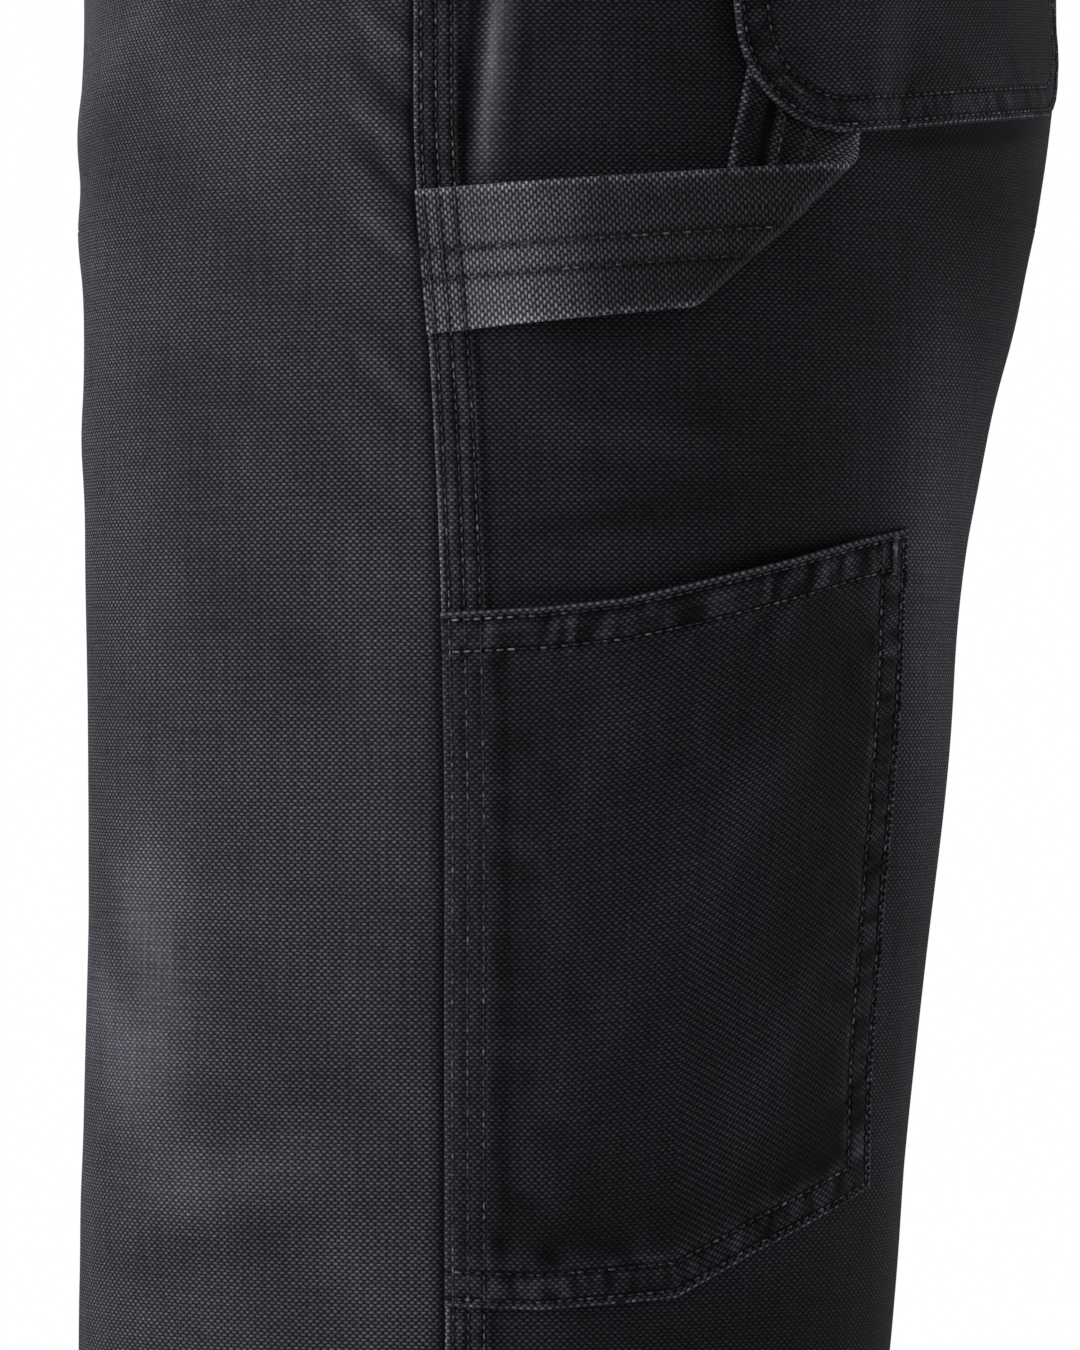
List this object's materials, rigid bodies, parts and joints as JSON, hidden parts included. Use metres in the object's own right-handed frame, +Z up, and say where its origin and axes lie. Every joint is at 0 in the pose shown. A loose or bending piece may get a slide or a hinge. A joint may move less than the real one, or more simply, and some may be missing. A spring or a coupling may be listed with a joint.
{
  "type": "work pants",
  "caption": "Hollow canvas work pants with a waistband, fly, scoop and back pockets, a tool pocket and a folded hammer loop on the left leg.",
  "frame": {"origin": "the middle of the waist, halfway up the waistband", "axes": "+Z up along the wearer; the wearer faces -Y; the wearer's left leg, with the hammer loop, is at +X"},
  "size_m": [0.3991, 0.2945, 1.1214],
  "materials": {
    "canvas": "charcoal cotton canvas, washed",
    "faded_canvas": "faded charcoal cotton canvas",
    "button_metal": "dark antique shank button"
  },
  "bodies": {
    "root": {"back_left": "canvas", "back_pocket_left": "canvas", "back_pocket_right": "canvas", "back_right": "canvas", "belt_loop_1": "canvas", "belt_loop_2": "canvas", "belt_loop_3": "canvas", "belt_loop_4": "canvas", "belt_loop_5": "canvas", "belt_loop_6": "canvas", "belt_loop_7": "canvas", "fly_shield": "canvas", "front_left": "canvas", "front_right": "canvas", "hammer_loop": "faded_canvas", "pocket_facing_left": "canvas", "pocket_facing_right": "canvas", "tool_pocket": "canvas", "waist_button": "button_metal", "waistband": "canvas", "yoke_left": "canvas", "yoke_right": "canvas"}
  },
  "joints": []
}
